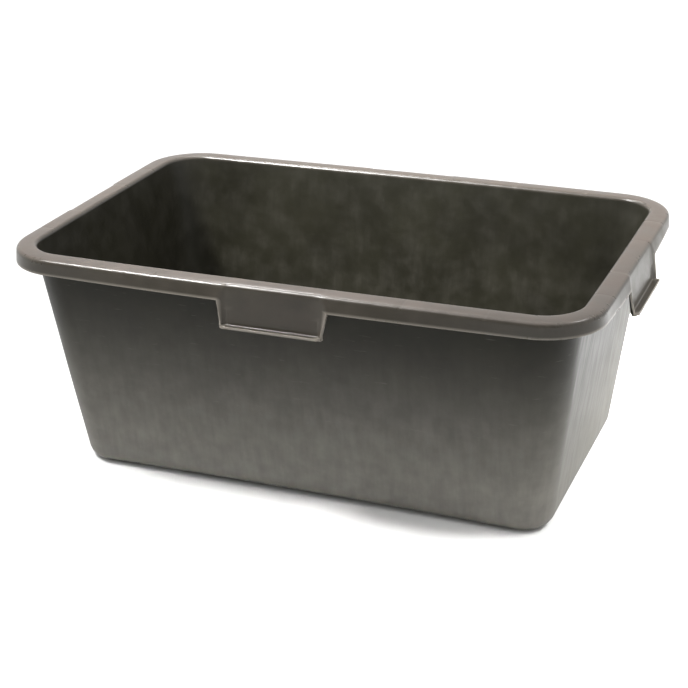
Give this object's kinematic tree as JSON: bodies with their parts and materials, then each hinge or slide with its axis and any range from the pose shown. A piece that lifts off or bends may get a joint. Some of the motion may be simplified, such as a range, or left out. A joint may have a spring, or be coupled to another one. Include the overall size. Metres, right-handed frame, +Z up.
{
  "type": "mortar mixing tub",
  "caption": "Rectangular moulded plastic tub for mixing mortar, with leaning walls, rounded corners, a flat rolled rim and a lifting grip in the middle of each side.",
  "frame": {"origin": "middle of the flat underside, on the surface that the tub stands on", "axes": "+X along the length towards the right-hand grip, +Y towards the back, +Z up"},
  "size_m": [0.798, 0.533, 0.311],
  "materials": {
    "shell": "black moulded polyethylene, dusty inside, scuffed outside",
    "rim": "black moulded polyethylene, weathered to a warm grey and rubbed smooth on its edges",
    "grips": "black moulded polyethylene, rubbed smooth by hands"
  },
  "bodies": {
    "root": {"floor_panel": "shell", "front_wall": "shell", "back_wall": "shell", "left_wall": "shell", "right_wall": "shell", "front_left_corner": "shell", "front_right_corner": "shell", "back_left_corner": "shell", "back_right_corner": "shell", "front_rim": "rim", "back_rim": "rim", "left_rim": "rim", "right_rim": "rim", "front_left_rim_bend": "rim", "front_right_rim_bend": "rim", "back_left_rim_bend": "rim", "back_right_rim_bend": "rim", "front_ribs": "rim", "back_ribs": "rim", "left_ribs": "rim", "right_ribs": "rim", "front_grip": "grips", "back_grip": "grips", "left_grip": "grips", "right_grip": "grips"}
  },
  "joints": []
}
